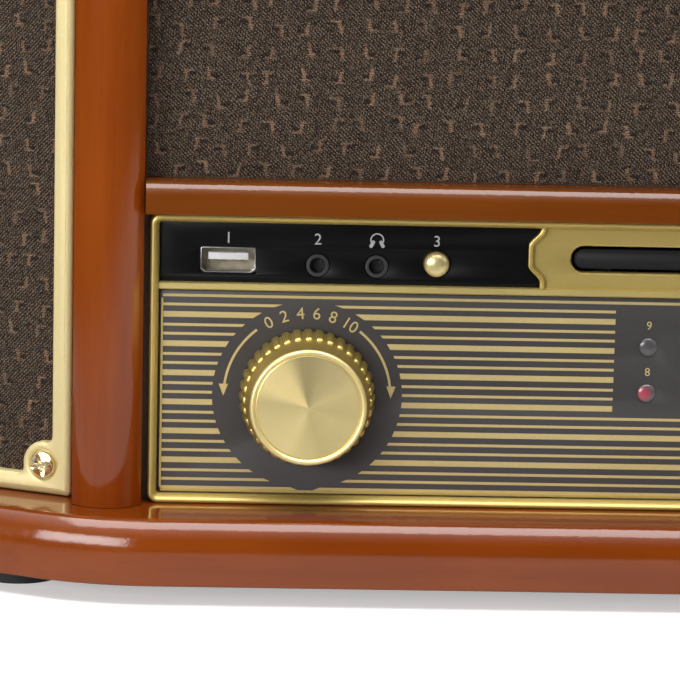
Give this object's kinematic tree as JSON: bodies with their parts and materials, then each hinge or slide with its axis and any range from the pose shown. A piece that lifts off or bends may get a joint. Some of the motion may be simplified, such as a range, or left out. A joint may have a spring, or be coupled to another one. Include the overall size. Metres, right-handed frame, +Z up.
{
  "type": "stereo music centre",
  "caption": "Wooden music centre with swept speaker wings, control panel, disc drawer, tuning dial, cassette slot and a record player under a hinged lid.",
  "frame": {"origin": "middle of the footprint, on the surface that the feet stand on", "axes": "+X to the cabinet's right seen from the front, +Y from the front to the back, +Z up"},
  "size_m": [0.53, 0.345, 0.236],
  "materials": {
    "wood_gloss": "high-gloss lacquered orange-brown veneer",
    "board": "raw fibreboard",
    "rubber_black": "matt",
    "grille_cloth": "dark brown woven grille cloth with tan flecks",
    "gilt_pale": "pale gold paint",
    "gilt_satin": "satin gold paint",
    "black_gloss": "gloss black",
    "charcoal": "charcoal with printed gold lines",
    "black_matt": "matt black",
    "lamp_lens": "tinted lens",
    "bright_steel": "bright",
    "plain_steel": "plain",
    "gilt_metal": "spun and gold-anodised",
    "brass": "polished",
    "red_plastic": "satin red",
    "dark_plastic": "dark grey",
    "light_metal": "satin",
    "circuit_board": "green with parts"
  },
  "bodies": {
    "root": {"plinth": "wood_gloss", "rubber_feet": "rubber_black", "side_panel_left": "wood_gloss", "side_panel_right": "wood_gloss", "back_panel": "board", "front_baffle": "board", "columns": "wood_gloss", "centre_rail": "wood_gloss", "top_frame": "wood_gloss", "wing_baffles": "board", "wing_cloths": "grille_cloth", "wing_frames": "gilt_pale", "wing_screws": "bright_steel", "centre_cloth": "grille_cloth", "control_frame": "gilt_satin", "input_plates": "black_gloss", "dial_plate": "charcoal", "display_window": "black_gloss", "led_lenses": "lamp_lens", "usb_socket": "bright_steel", "audio_jacks": "black_matt", "control_pots": "plain_steel", "tuning_dial": "gilt_satin", "cd_mechanism": "plain_steel", "turntable_deck": "black_matt", "platter_spindle": "plain_steel", "drive_belt": "rubber_black", "platter_motor": "plain_steel", "tonearm_base": "dark_plastic", "hinge_leaves_fixed": "brass", "speakers": "dark_plastic", "main_board": "circuit_board", "transformer": "plain_steel", "mains_inlet": "black_matt", "rca_sockets": "brass", "cassette_bezel": "black_matt", "cassette_mechanism": "plain_steel"},
    "lid": {"lid": "wood_gloss", "hinge_leaves_moving": "brass"},
    "platter": {"platter": "light_metal", "slip_mat": "rubber_black"},
    "arm": {"tonearm": "light_metal", "counterweight": "bright_steel"},
    "motor_pulley": {"motor_pulley": "brass"},
    "tonearm_gimbal": {"tonearm_gimbal": "light_metal"},
    "cue_lever": {"cue_lever": "light_metal"},
    "lift_platform": {"lift_platform": "dark_plastic"},
    "speed_selector": {"speed_selector": "dark_plastic"},
    "volume_knob": {"volume_knob": "gilt_metal"},
    "tuning_knob": {"tuning_knob": "gilt_metal"},
    "dial_pointer": {"dial_pointer": "red_plastic"},
    "function_button": {"function_button": "gilt_satin"},
    "button_open": {"button_open": "gilt_satin"},
    "button_play": {"button_play": "gilt_satin"},
    "button_stop": {"button_stop": "gilt_satin"},
    "button_skip": {"button_skip": "gilt_satin"},
    "cd_tray": {"cd_tray": "dark_plastic"},
    "cd_hub": {"cd_hub": "dark_plastic"},
    "cassette_flap": {"cassette_flap": "dark_plastic"},
    "cassette_button": {"cassette_button": "light_metal"}
  },
  "joints": [
    {"name": "lid_hinge", "type": "hinge", "parent": "root", "child": "lid", "pos_m": [0, 0.1644, 0.19], "axis": [-1, 0, 0], "range_deg": [0, 75]},
    {"name": "platter_spin", "type": "hinge", "parent": "root", "child": "platter", "pos_m": [-0.06, -0.0015, 0.19], "axis": [0, 0, 1], "continuous": true},
    {"name": "pulley_spin", "type": "hinge", "parent": "root", "child": "motor_pulley", "pos_m": [-0.1194, 0.0579, 0.186], "axis": [0, 0, 1], "continuous": true},
    {"name": "arm_swing", "type": "hinge", "parent": "root", "child": "tonearm_gimbal", "pos_m": [0.11796, 0.07499, 0.198], "axis": [0, 0, -1], "range_deg": [0, 52]},
    {"name": "arm_lift", "type": "hinge", "parent": "tonearm_gimbal", "child": "arm", "pos_m": [0.11796, 0.07499, 0.206], "axis": [-1, 0, 0], "range_deg": [0, 2.5]},
    {"name": "cue_turn", "type": "hinge", "parent": "root", "child": "cue_lever", "pos_m": [0.14796, 0.06799, 0.1905], "axis": [-1, 0, 0], "range_deg": [0, 60]},
    {"name": "platform_lift", "type": "slide", "parent": "root", "child": "lift_platform", "axis": [0, 0, 1], "range_m": [0, 0.0015]},
    {"name": "speed_slide", "type": "slide", "parent": "root", "child": "speed_selector", "axis": [0, 1, 0], "range_m": [0, 0.012]},
    {"name": "volume_turn", "type": "hinge", "parent": "root", "child": "volume_knob", "pos_m": [-0.133, -0.155, 0.0482], "axis": [0, -1, 0], "range_deg": [-150, 150]},
    {"name": "tuning_turn", "type": "hinge", "parent": "root", "child": "tuning_knob", "pos_m": [0.133, -0.155, 0.0482], "axis": [0, -1, 0], "range_deg": [-360, 360]},
    {"name": "pointer_turn", "type": "hinge", "parent": "root", "child": "dial_pointer", "pos_m": [0, -0.148, 0.141], "axis": [0, -1, 0], "range_deg": [-120, 120]},
    {"name": "function_press", "type": "slide", "parent": "root", "child": "function_button", "axis": [0, 1, 0], "range_m": [0, 0.0012], "stiffness_N_per_m": 300},
    {"name": "open_press", "type": "slide", "parent": "root", "child": "button_open", "axis": [0, 1, 0], "range_m": [0, 0.0012], "stiffness_N_per_m": 300},
    {"name": "play_press", "type": "slide", "parent": "root", "child": "button_play", "axis": [0, 1, 0], "range_m": [0, 0.0012], "stiffness_N_per_m": 300},
    {"name": "stop_press", "type": "slide", "parent": "root", "child": "button_stop", "axis": [0, 1, 0], "range_m": [0, 0.0012], "stiffness_N_per_m": 300},
    {"name": "skip_press", "type": "slide", "parent": "root", "child": "button_skip", "axis": [0, 1, 0], "range_m": [0, 0.0012], "stiffness_N_per_m": 300},
    {"name": "drawer_slide", "type": "slide", "parent": "root", "child": "cd_tray", "axis": [0, -1, 0], "range_m": [0, 0.132]},
    {"name": "hub_spin", "type": "hinge", "parent": "root", "child": "cd_hub", "pos_m": [0, -0.081, 0.075], "axis": [0, 0, 1], "continuous": true},
    {"name": "flap_turn", "type": "hinge", "parent": "root", "child": "cassette_flap", "pos_m": [0.2505, 0.007, 0.074], "axis": [0, 1, 0], "range_deg": [0, 80], "stiffness_Nm_per_rad": 0.002},
    {"name": "eject_press", "type": "slide", "parent": "root", "child": "cassette_button", "axis": [-1, 0, 0], "range_m": [0, 0.0025], "stiffness_N_per_m": 300}
  ],
  "couplings": [
    {"joint": "pulley_spin", "follows": "platter_spin", "ratio": 13.4},
    {"joint": "arm_lift", "follows": "platform_lift", "rad_per_m": 29.09},
    {"joint": "cue_turn", "follows": "platform_lift", "rad_per_m": 698.1},
    {"joint": "pointer_turn", "follows": "tuning_turn", "ratio": 0.3333}
  ]
}
